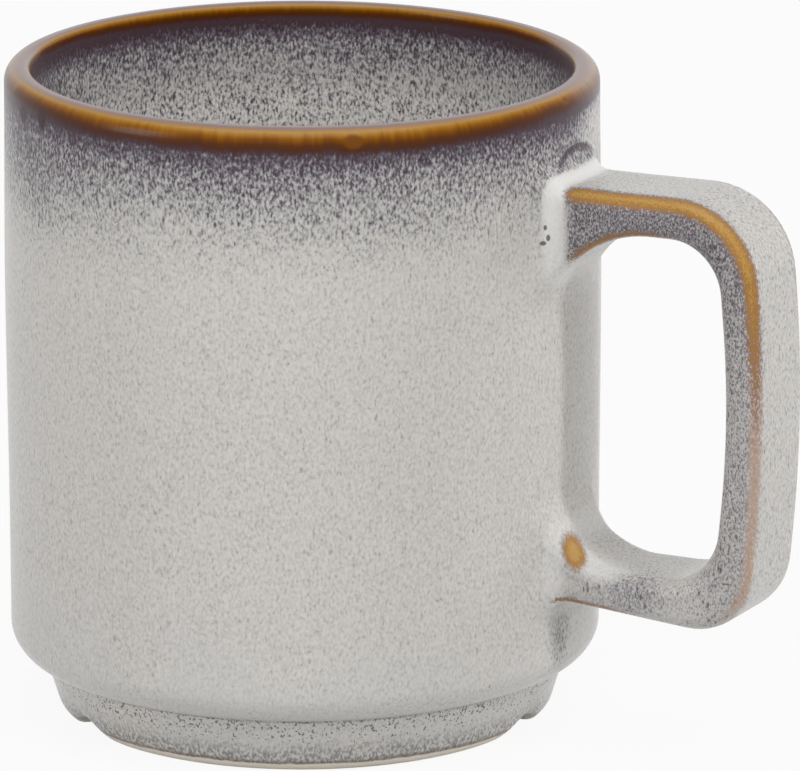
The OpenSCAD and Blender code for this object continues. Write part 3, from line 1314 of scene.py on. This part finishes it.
@dataclass
class Studio:
    """The pale floor, the soft lights, the white surroundings and the camera."""

    elevation: float = 0.260956
    azimuth: float = math.radians(28.147)
    roll: float = -0.0058345
    yaw: float = 0.0107817
    pitch: float = -0.000571
    distance: float = 1.2
    aim_up: float = 0.045
    focal_px: float = 8913.326
    frame_px: float = 800.0
    sensor: float = 36.0
    clip: tuple[float, float] = (0.05, 50)
    floor_size: float = 4.0
    floor_grey: tuple = (0.64, 0.64, 0.64, 1)
    floor_white: float = 0.92
    world_light: Step = Step(0.0, 1.0, 0.12, 1.0)
    softboxes: tuple[Softbox, ...] = (
        Softbox("left_softbox", -66, 12, 1.6, 0.5, 1.2, 10.5, gloss=True),
        Softbox("right_key", 51, 20, 1.6, 0.10, 0.9, 8.5),
        Softbox("right_softbox", 112, 12, 1.6, 0.4, 1.2, 11),
        Softbox("front_softbox", -8, 18, 1.8, 0.9, 0.6, 7.3),
        Softbox("top_softbox", 0, 75, 1.5, 1.4, 1.4, 12.5, gloss=True),
        Softbox("back_softbox", 180, 20, 1.8, 1.0, 0.8, 7),
    )

    def camera(self) -> None:
        """Sets the camera at the photograph's viewing angle."""
        forward = Vector((0, math.cos(self.elevation), -math.sin(self.elevation)))
        right = Vector((1, 0, 0))
        place = Vector((0, 0, self.aim_up)) - forward * self.distance
        up = right.cross(forward)
        forward, right = swung(forward, right, self.yaw)
        forward, up = swung(forward, up, self.pitch)
        right, up = swung(right, up, self.roll)
        pose = Matrix((right, up, -forward)).transposed().to_4x4()
        pose.translation = place
        data = bpy.data.cameras.new("camera")
        data.sensor_width = self.sensor
        data.lens = self.focal_px / self.frame_px * self.sensor
        data.clip_start, data.clip_end = self.clip
        camera = bpy.data.objects.new("camera", data)
        camera.matrix_world = Matrix.Rotation(self.azimuth, 4, "Z") @ pose
        bpy.context.scene.collection.objects.link(camera)
        bpy.context.scene.camera = camera

    def hang(self, box: Softbox) -> None:
        """Hangs a soft light that faces the mug.

        Args:
            box: the light.
        """
        data = bpy.data.lights.new(box.name, "AREA")
        data.shape, data.energy = "RECTANGLE", box.watts
        data.size, data.size_y = box.wide, box.high
        lamp = bpy.data.objects.new(box.name, data)
        lamp.visible_glossy = box.gloss
        around = self.azimuth + math.radians(box.azimuth)
        rise = math.radians(box.elevation)
        place = Vector((math.sin(around) * math.cos(rise), -math.cos(around) * math.cos(rise),
                        math.sin(rise))) * box.distance
        target = Vector((0, 0, self.aim_up))
        lamp.matrix_world = (Matrix.Translation(target + place)
                             @ place.to_track_quat("Z", "Y").to_matrix().to_4x4())
        bpy.context.scene.collection.objects.link(lamp)

    def seen_white(self, n: Nodes) -> Socket:
        """Finds the rays that should meet a white surrounding.

        Args:
            n: the node maker.

        Returns:
            1 for those rays and 0 for the others.
        """
        path = n.add("LightPath").outputs
        return n.math("MAXIMUM", path["Is Camera Ray"], n.math(
            "MAXIMUM", path["Is Glossy Ray"], path["Is Transmission Ray"]))

    def floor(self) -> None:
        """Lays the pale floor, which keeps the mug's shadow."""
        bm = bmesh.new()
        bmesh.ops.create_grid(bm, x_segments=1, y_segments=1, size=self.floor_size)
        ground = Mug.to_object(bm, "floor")
        material = bpy.data.materials.new("pale_floor")
        n = Nodes(material)
        mix = n.add("MixShader", n.times(self.seen_white(n), self.floor_white),
                    n.add("BsdfDiffuse", self.floor_grey).outputs[0],
                    n.add("Emission").outputs[0])
        n.add("OutputMaterial", mix.outputs[0])
        ground.data.materials.append(material)

    def world(self) -> None:
        """Makes the surroundings white to look at and soft to light with."""
        world = bpy.data.worlds.new("studio")
        bpy.context.scene.world = world
        n = Nodes(world)
        back = n.add("Background")
        back.inputs["Color"].default_value = (1, 1, 1, 1)
        n.feed(back.inputs["Strength"], n.step(self.seen_white(n), self.world_light))
        n.add("OutputWorld", back.outputs[0])

    def build(self) -> None:
        """Sets up the whole studio."""
        self.floor()
        self.world()
        for box in self.softboxes:
            self.hang(box)
        self.camera()
        bpy.context.scene.view_settings.view_transform = "Standard"
        log.info("studio: %d soft lights", len(self.softboxes))


def main() -> None:
    """Builds the mug, dresses it and sets up the studio."""
    logging.basicConfig(level=logging.INFO, format="%(name)s %(message)s")
    mug = Mug().build()
    SpeckledGlaze().dress(mug)
    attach(mug, "root")
    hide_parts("mug")
    Studio().build()


if __name__ == "__main__":
    main()
